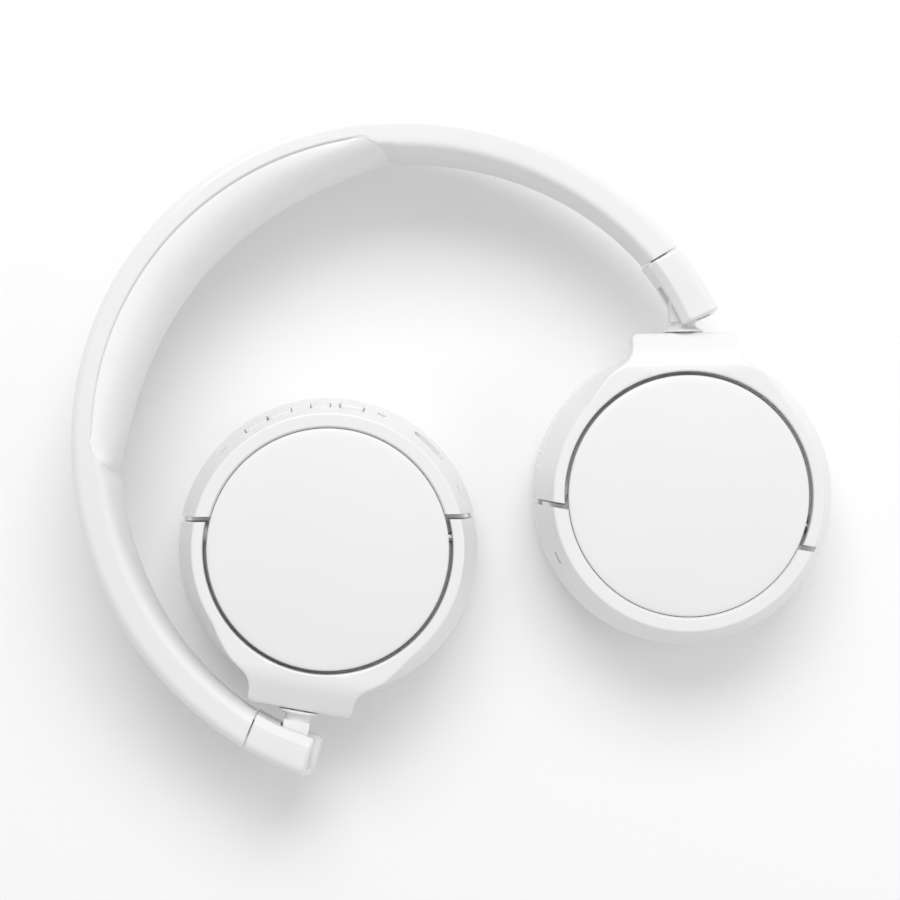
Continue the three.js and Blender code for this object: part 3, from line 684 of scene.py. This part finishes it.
def end_outline(t):
    w = band_width(t) / 2
    depth = LINER_DEPTH + 0.7 * smoothstep(PART_LINE, SLIDER_END, t)
    side, face = depth - 1.9, w - 1.9
    points = [(side, -w), (0.15, -w), (0, 0), (0.15, w), (side, w), (depth, face), (depth, -face)]
    return rounded(points, [0.8, 2.6, 30, 2.6, 0.8, 0.7, 0.7], 6)


def slider_ring(t, outline, slant):
    """An outline on the slider. It starts with the headband's lean. At its end the front wall stops slant
    degrees short of the back wall, and the outer edge reaches further than the inner one."""
    start = JOINT_LEAN * (1 - smoothstep(PART_LINE, PART_LINE + 7, t)) / LINER_DEPTH
    near = smoothstep(PART_LINE + 4, SLIDER_END, t)
    ring = []
    for depth, z in outline:
        back = slant * near * (z / END_W + 0.5) - END_REACH * near * (1 - depth / LINER_DEPTH)
        x, y = on_band(t - back - start * depth, depth)
        ring.append((x, y, BAND_Z + z))
    return ring


def slider_end(slant):
    stops = list(np.linspace(PART_LINE + 0.22, SLIDER_END, 26))
    block = skin("end", eased_ends(stops, end_outline, lambda t, ring: slider_ring(t, ring, slant), 0.7))
    pin = PIN["right"]
    to_pin = Matrix.Translation(Vector(pin) * MM) @ Matrix.Rotation(math.radians(90 - PIN_ANGLE), 4, "Z")
    # Slot in the inner face, open at the end, round at its blind end.
    ring = rounded([(-30, -12), (3.5, -12), (3.5, 4.9), (-30, 4.9)], [0, 1.5, 2.5, 0], 6)
    slot = skin("slot", [[(x, y, z) for x, y in ring] for z in (-3.8, 3.8)])
    slot.data.transform(to_pin)
    bore = bar("bore", PIN_R, pin - (0, 0, 7), pin + (0, 0, 7))
    boolean(block, [slot, bore])
    return soften(block, 0.16)


for side, slant in SLANT.items():
    piece = slider_end(slant)
    if side == "left":
        mirror(piece)
    piece.name = f"{side}_slider_end_skin"
    finish_piece(piece, f"{side}_slider", "white_shell", f"{side}_slider_end")

# ------------------------------------------------------------------ hinge stems


def stem():
    """A flared foot on the neck and a round-ended tongue for the slider's slot."""
    z0, z1 = BAND_Z - 3.5, BAND_Z + 3.5
    flare = [(0, 0), (4.85, 0), (5, 0.12), (5, 0.42), (4.5, 0.62), (4.0, 0.82), (3.6, 1.05), (3.3, 1.3),
             (3.2, 1.6), (3.2, 4.6), (0, 4.6)]
    foot = dome("foot", flare, 72)
    base = Vector((0, NECK_LENGTH - 8.8, BAND_Z)) * MM
    foot.data.transform(Matrix.Translation(base) @ Matrix.Rotation(-math.pi / 2, 4, "X"))
    turns = np.radians(np.linspace(0, 180, 25))
    stadium = [(3.2 * math.cos(a), NECK_LENGTH + 3.2 * math.sin(a)) for a in turns]
    stadium += [(-3.2, NECK_LENGTH - 6.3), (3.2, NECK_LENGTH - 6.3)]
    tongue = skin("tongue", [[(x, y, z) for x, y in stadium] for z in (z0, z1)])
    boolean(foot, [tongue], "UNION")
    pin = bar("pin", PIN_R, (0, NECK_LENGTH, z0 - 1), (0, NECK_LENGTH, z1 + 1))
    post = bar("post", POST_R, (0, NECK_LENGTH - 9.6, BAND_Z), (0, NECK_LENGTH - 4, BAND_Z))
    boolean(foot, [pin, post])
    return soften(foot, 0.22)


# ------------------------------------------------------------------ yokes
# Distances from the cup's centre towards the neck, and the front's heights there.
NECK_SLOPE = ([0, 31.4, 33.6, 36.4, 39.4, 41], [FRONT, FRONT, 29.5, 28, 26.1, 25.4])


def neck_height(y):
    """Height of the front at y, with the slope's corners smoothed."""
    return float(np.mean(np.interp(y + np.array([-0.8, -0.4, 0, 0.4, 0.8]), *NECK_SLOPE)))


def neck_path():
    """Half of the neck's plan outline, as angles and radii from where it leaves the rim to the middle."""
    flare = [(24.6, 22.6), (22.2, 26.2), (19.4, 29.6), (16.9, 31.6), (15.0, 33.0), (13.7, 34.6),
             (13.1, 36.4), (NECK_HALF, 38.0)]
    x, y = NECK_HALF - NECK_CORNER, NECK_TOP - NECK_CORNER
    turns = np.radians(np.linspace(0, 90, 9))
    corner = [(x + NECK_CORNER * math.cos(a), y + NECK_CORNER * math.sin(a)) for a in turns]
    points = np.array(flare + corner + [(x, NECK_TOP) for x in (9.0, 6.0, 3.0, 0.0)])
    # A smooth curve through the flare's points, and straight lines after it.
    dense = []
    for i in range(len(points) - 1):
        p0, p1, p2, p3 = (points[min(max(k, 0), len(points) - 1)] for k in (i - 1, i, i + 1, i + 2))
        square, cube = 2 * p0 - 5 * p1 + 4 * p2 - p3, 3 * p1 - p0 - 3 * p2 + p3
        n = 4 if i < len(flare) - 1 else 1
        for t in np.arange(n) / n:
            dense.append(0.5 * (2 * p1 + (p2 - p0) * t + square * t * t + cube * t**3))
    dense = np.array(dense + [points[-1]])
    return np.degrees(np.arctan2(dense[:, 1], dense[:, 0])), np.linalg.norm(dense, axis=1)


NECK_A, NECK_R = neck_path()


def neck_radius(theta):
    """Outer edge of the front at an angle round the cup, the neck at 90."""
    a = min(theta, 180 - theta)
    return RIM_R if a <= NECK_A[0] else float(np.interp(a, NECK_A, NECK_R))


def yoke_ring(theta):
    """One section of the yoke: the front from its inner edge to the rim, the side wall and the underside."""
    top = neck_radius(theta)
    bottom = max(YOKE_FOOT_R, top)
    s = math.sin(math.radians(theta))
    radii = [YOKE_R + 0.45 + (top - YOKE_R - 1.05) * f for f in np.linspace(0, 1, 11)]
    front = [(r, neck_height(r * s)) for r in radii]
    z = neck_height((top - 0.1) * s)
    edge = [(top - 0.33, z - 0.06), (top - 0.12, z - 0.22), (top, z - 0.55)]
    fall = YOKE_BOTTOM + 0.6 - z + 0.55
    wall = [(top + (bottom - top) * f, z - 0.55 + fall * f) for f in (0.25, 0.5, 0.75, 1.0)]
    foot = bottom - 0.45
    under = [(bottom - 0.12, YOKE_BOTTOM + 0.2), (foot, YOKE_BOTTOM)]
    under += [(34.6 + (foot - 34.6) * 0.5, YOKE_BOTTOM), (33.9, YOKE_BOTTOM), (33.5, YOKE_BOTTOM + 0.25)]
    inner = [(32.0, 22.7), (YOKE_R, 27.2), (YOKE_R, 28.6), (30.55, FRONT - 0.45), (30.7, FRONT - 0.15)]
    return np.array(front + edge + wall + under + inner)


def pivot_point(side, d):
    """A point on the axis of the cup's tilt, d from the middle on one side."""
    skew = math.radians(PIVOT_SKEW)
    return side * d * math.cos(skew), PIVOT_Y + side * d * math.sin(skew), PIVOT_Z


def beside_chord(low, high):
    """A block beside the straight line on which the yoke's arms end."""
    section = [(low, 10), (high, 10), (high, 35), (low, 35)]
    tool = skin("chord", [[(x, y, z) for y, z in section] for x in (-45, 45)])
    tool.data.transform(Matrix.Rotation(math.radians(CHORD_SKEW), 4, "Z"))
    return tool


def yoke():
    """An arch round the neck's side of the cup, with a boss at each arm's end."""
    neck = [a for a in NECK_A if a < 90]
    angles = list(np.arange(-34, NECK_A[0], 2.0)) + neck + [90.0] + [180 - a for a in neck[::-1]]
    angles += list(np.arange(194, 180 - NECK_A[0], -2.0))[::-1]
    body = skin("yoke", [polar(a, yoke_ring(a)) for a in angles], sharp=40)
    boolean(body, [beside_chord(-50, CHORD_OFFSET + NOTCH / 2)])
    soften(body, 0.35, 3, 60)
    bosses = [bar("boss", BOSS_R, pivot_point(s, 29.95), pivot_point(s, 32.6), end=0.2) for s in (1, -1)]
    boolean(body, bosses, "UNION")
    tools = [bar("bore", PIVOT_R, pivot_point(s, 28), pivot_point(s, 33.2)) for s in (1, -1)]
    tools.append(bar("post", POST_R, (0, 28, BAND_Z), (0, NECK_TOP + 1, BAND_Z)))
    tools.append(bar("pocket", POCKET_R, (0, 28, BAND_Z), (0, 33.2, BAND_Z)))
    boolean(body, tools)
    return weigh(body)


# ------------------------------------------------------------------ ear cup housings
LIP_R, SEAT_R, SEAT_Z, BORE_R = 30.05, 29.75, 29.2, 28.4  # the rim's inner side, from the front backwards
MID_R = 35  # radius at which widths on the wall are measured
BUTTON_LOW, BUTTON_HIGH, BUTTON_CORNER, BUTTON_GAP = 20.8, 25.0, 0.8, 0.28
# The left cup's buttons: name, the angles between which they lie, how far they stand out, depth of the dish.
CONTROLS = [
    ("volume_up", 315.2, 305.6, 0.45, 0.12),
    ("volume_down", 304.8, 295.2, 0.45, 0.12),
    ("power", 287.0, 279.5, 0.25, 0.1),
    ("play", 275.3, 266.0, 1.0, 0.0),
]
SOCKET_ANGLE, LAMP_ANGLE, LEFT_MICS, RIGHT_MIC = 235.8, 258.5, (213.9, 327.6), 205
SOCKET_Z, LAMP_Z, MIC_Z = 21.4, 22.4, 23.0


def wall_radius(z):
    """The cup's outer wall spreads from the rim to the back."""
    return RIM_R + (RIM_EDGE - z) / (RIM_EDGE - DRUM_BOTTOM) * RIM_SPREAD


def rim_outline(inside):
    """The rim's section. inside holds the three corners on its inner side, from the back to the bore."""
    points = [(LIP_R, FRONT), (RIM_R, FRONT), (wall_radius(DRUM_BOTTOM), DRUM_BOTTOM), *inside,
              (BORE_R, DRUM_TOP), (SEAT_R, DRUM_TOP), (SEAT_R, SEAT_Z), (LIP_R, SEAT_Z)]
    return rounded(points, [0.3, 0.7, 0.5, 0.3, 1, 0.2, 0.2, 0.1, 0.05, 0.05], 5)


HOLLOW_RIM = rim_outline([(34.4, DRUM_BOTTOM), (31.6, 26), (BORE_R, 26)])
SOLID_RIM = rim_outline([(BORE_R, DRUM_BOTTOM), (BORE_R, 22), (BORE_R, 25)])


def patch(a, b, low, high, r_at, corner, dense=False):
    """A rounded rectangle on the cup's wall between two angles and heights, as a ring of points."""
    mid, half = math.radians((a + b) / 2), math.radians(abs(b - a) / 2)
    w, h = half * MID_R, (high - low) / 2
    corners = rounded([(-w, -h), (w, -h), (w, h), (-w, h)], [corner] * 4, 6)
    flat = []
    for p, q in zip(corners, np.roll(corners, -1, axis=0)):
        n = max(1, int(abs(q[0] - p[0]) / 0.8)) if dense else 1
        flat += [p + (q - p) * k / n for k in range(n)]
    ring = []
    for u, v in flat:
        t, z = mid + u / MID_R, (low + high) / 2 + v
        r = r_at(z)
        ring.append((r * math.cos(t), r * math.sin(t), z))
    return ring


def resampled(ring, count):
    """A closed ring with count evenly spaced points."""
    p = np.array(ring + [ring[0]])
    d = np.r_[0, np.cumsum(np.linalg.norm(np.diff(p, axis=0), axis=1))]
    s = np.linspace(0, d[-1], count, endpoint=False)
    return np.c_[[np.interp(s, d, p[:, k]) for k in range(3)]].T


def button(name, a, b, lift, dish):
    """A press button that follows the wall, standing lift proud of it with a rounded edge."""
    rings = [patch(a, b, BUTTON_LOW, BUTTON_HIGH, lambda z: 31.9, BUTTON_CORNER, dense=True)]
    for back, ins in ((0.35, 0.0), (0.13, 0.05), (0.03, 0.16), (0.0, 0.34), (-0.03, 0.8), (-dish, 1.3)):
        g = math.degrees(ins / MID_R)
        corner = max(0.1, BUTTON_CORNER - ins * 0.5)
        rings.append(patch(min(a, b) + g, max(a, b) - g, BUTTON_LOW + ins, BUTTON_HIGH - ins,
                           lambda z: wall_radius(z) + lift - back, corner, dense=True))
    return skin(name, [resampled(r, 72) for r in rings], sharp=45)


def wall_hole(name, a, b, low, high, corner, radii):
    """A cutter through the cup's wall between two angles and heights, from one radius to the other."""
    return skin(name, [patch(a, b, low, high, lambda z, r=r: r, corner) for r in radii])


def button_hole(name, a, b):
    g = math.degrees(BUTTON_GAP / MID_R)
    low, high = BUTTON_LOW - BUTTON_GAP, BUTTON_HIGH + BUTTON_GAP
    return wall_hole(name, min(a, b) - g, max(a, b) + g, low, high, 0.9, (30.6, 38.5))


def slot_hole(name, angle, z, width, height, corner, inner):
    g = math.degrees(width / 2 / MID_R)
    return wall_hole(name, angle - g, angle + g, z - height / 2, z + height / 2, corner, (inner, 38))


def mic_hole(angle):
    return slot_hole("mic", angle, MIC_Z, 3.2, 1.2, 0.55, 31)


def lamp_hole(angle):
    c, s = math.cos(math.radians(angle)), math.sin(math.radians(angle))
    return bar("lamp", 1.15, (30 * c, 30 * s, LAMP_Z), (38 * c, 38 * s, LAMP_Z), 32)


def left_angle(a):
    """Where a detail of the left cup is made before place() mirrors it."""
    return 180 - a + 360


def housing(side):
    """The rim, hollow away from the pivots, on a drum, with a step under the chord and holes in the wall."""
    stops = np.linspace(176, 342, 90)
    body = skin("rim", [polar(t, SOLID_RIM if t < 190 or t > 328 else HOLLOW_RIM) for t in stops])
    chord = CHORD_OFFSET - NOTCH / 2
    boolean(body, [beside_chord(chord, 50)])
    soften(body, 0.35, 3, 60)
    top = DRUM_TOP - 0.02
    section = [(27.6, DRUM_BOTTOM), (DRUM_R, DRUM_BOTTOM), (DRUM_R, 22.6), (30.25, 23.4), (30.25, 25.2),
               (DRUM_R, 25.6), (DRUM_R, top), (2, top), (2, 26), (27.6, 26)]
    drum = turned("drum", section, 128)
    low, high = 21.5, 25.6
    section = [(29, low), (wall_radius(low) - 0.12, low), (wall_radius(high) - 0.12, high), (29, high)]
    step = turned("step", section, 200)
    boolean(step, [beside_chord(chord - 0.6, chord - 0.6 + 1.55)], "INTERSECT")
    boolean(body, [drum, step], "UNION")
    tools = [bar("bore", PIVOT_R, pivot_point(s, 24), pivot_point(s, 31)) for s in (1, -1)]
    if side == "left":
        tools += [button_hole(name, left_angle(a), left_angle(b)) for name, a, b, _, _ in CONTROLS]
        tools.append(slot_hole("port", left_angle(SOCKET_ANGLE), SOCKET_Z, 9.5, 3.8, 1.8, 26))
        tools.append(lamp_hole(left_angle(LAMP_ANGLE)))
        tools += [mic_hole(left_angle(a)) for a in LEFT_MICS]
    else:
        tools.append(mic_hole(RIGHT_MIC))
    boolean(body, tools)
    return weigh(body)


# ------------------------------------------------------------------ outer caps and ear pads


def cap():
    """A slightly domed disc with a rounded edge, just inside the rim."""
    profile = [(0, DRUM_TOP + CAP_GAP), (29.2, DRUM_TOP + CAP_GAP), (CAP_R, DRUM_TOP + 0.8)]
    profile += [(CAP_R, FRONT - 0.75), (29.54, FRONT - 0.5), (29.35, FRONT - 0.3), (CAP_FACE_R, FRONT - 0.2)]
    profile += [(r, FRONT + CAP_RISE - 1.28 * (r / CAP_FACE_R) ** 2) for r in np.linspace(27.6, 1.2, 26)]
    profile += [(0, FRONT + CAP_RISE)]
    return dome("cap", profile, 144, sharp=50)


def gathers(x, y, z):
    """Small puckers where the ear pad's cover is gathered under the mounting ring, fading down the side."""
    r, t = math.hypot(x, y), math.atan2(y, x)
    if r < 30:
        return 0, 0, 0
    near = smoothstep(5.5, 12.0, z)
    wave = noise.noise(Vector((14 * math.cos(t), 14 * math.sin(t), z * 0.08)))
    fine_wave = noise.noise(Vector((38 * math.cos(t), 38 * math.sin(t), z * 0.12 + 7)))
    pleat = math.sin(150 * t + 6 * wave) * smoothstep(8.5, 12.0, z)
    d = near * (0.14 * wave + 0.2 * fine_wave) + 0.14 * pleat
    return d * x / r, d * y / r, 0


def ear_pad():
    """A ring cushion with a side panel, a face panel and an inner wall, sewn at its face's edges."""
    knots = [(36.5, 12.3), (37.1, 9.6), (37.1, 6.6), (36.4, 4.0), (34.7, 2.1), (32.4, 1.0), (29.0, 0.6),
             (25.5, 0.7), (22.2, 1.4), (19.6, 3.0), (18.3, 5.4), (18.0, 8.6), (18.4, 12.3)]
    cells = [2] * 12 + [8]  # the last stretch is the flat back
    outline = []
    for a, b, n in zip(knots, knots[1:] + knots[:1], cells):
        a, b = np.array(a), np.array(b)
        outline += [a + (b - a) * k / n for k in range(n)]
    turns, m = 300, len(outline)
    pad = turned("pad", outline, turns, sharp=180)
    face_seam, back = 8, [0, *range(24, m)]
    pins = [i * m + j for i in range(turns) for j in range(m) if j == face_seam or j in back]
    puff(pad, pins, 1.0)
    even(pad, pins, 4)
    subdivided(pad)
    shift(pad, gathers)
    return shift(pad, lambda x, y, z: (0, 0, max(0.02, z) - z))


for side in SIDES:
    made = [
        (stem(), "hinge_stem_skin", f"{side}_stem", "white_shell", f"{side}_hinge_stem"),
        (yoke(), "yoke_skin", f"{side}_yoke", "white_shell", f"{side}_yoke"),
        (housing(side), "housing_skin", f"{side}_cup", "white_shell", f"{side}_cup_housing"),
        (cap(), "cap_skin", f"{side}_cup", "white_satin", f"{side}_outer_cap"),
        (ear_pad(), "ear_cushion", f"{side}_cup", "white_leatherette", f"{side}_ear_pad"),
    ]
    if side == "left":
        for name, a, b, lift, dish in CONTROLS:
            piece = button(name, left_angle(a), left_angle(b), lift, dish)
            made.append((piece, f"{name}_cap", f"{name}_button_body", "white_satin", f"left_{name}_button"))
    for piece, name, body, slot, node in made:
        piece.name = f"{side}_{name}"
        place(piece, side)
        finish_piece(piece, body, slot, node)

# ------------------------------------------------------------------ floor, light and camera


def light(name, at, size, power):
    """A soft panel that faces the middle of the object."""
    data = bpy.data.lights.new(name, "AREA")
    data.shape, data.size, data.size_y = "RECTANGLE", size[0], size[1]
    data.energy = power
    lamp = bpy.data.objects.new(name, data)
    lamp.location = at
    lamp.rotation_euler = (Vector((0, 0, 0.02)) - at).to_track_quat("-Z", "Y").to_euler()
    bpy.context.scene.collection.objects.link(lamp)


def toward(degrees):
    """A level direction, at an angle from +X."""
    a = math.radians(degrees)
    return Vector((math.cos(a), math.sin(a), 0))


floor_mesh = bpy.data.meshes.new("floor")
floor_mesh.from_pydata([(-4, -4, 0), (4, -4, 0), (4, 4, 0), (-4, 4, 0)], [], [(0, 1, 2, 3)])
floor = bpy.data.objects.new("floor", floor_mesh)
bpy.context.scene.collection.objects.link(floor)
floor_look, _, floor_shader = nodes_of("pale_floor")
floor_shader.inputs["Base Color"].default_value = grey(0.93)
floor_shader.inputs["Roughness"].default_value = 0.6
floor.data.materials.append(floor_look)

world = bpy.data.worlds.new("studio")
world.use_nodes = True
background = world.node_tree.nodes["Background"]
background.inputs["Color"].default_value = (1, 1, 1, 1)
background.inputs["Strength"].default_value = 0.66
bpy.context.scene.world = world
bpy.context.scene.view_settings.view_transform = "Standard"

# The key stands beyond the top edge of the picture, the fill off its right edge.
light("key", toward(42) * 0.75 + Vector((0, 0, 0.95)), (0.9, 0.6), 7.6)
light("fill", toward(-48) * 0.8 + Vector((0, 0, 0.6)), (0.6, 0.6), 0.8)

# Almost straight down on the caps, from two thirds of a metre, turned so that the headband opens to the
# lower right.
camera_data = bpy.data.cameras.new("camera")
camera_data.sensor_width = 36.0
camera_data.lens = 106.84
camera_data.clip_end = 20
camera = bpy.data.objects.new("camera", camera_data)
camera_at = Vector((-0.00792, 0.016685, 0.68111))
camera_turn = Euler([math.radians(a) for a in (0.0006, -1.969, -48.9737)])
camera.matrix_world = Matrix.LocRotScale(camera_at, camera_turn, None)
bpy.context.scene.collection.objects.link(camera)
bpy.context.scene.camera = camera
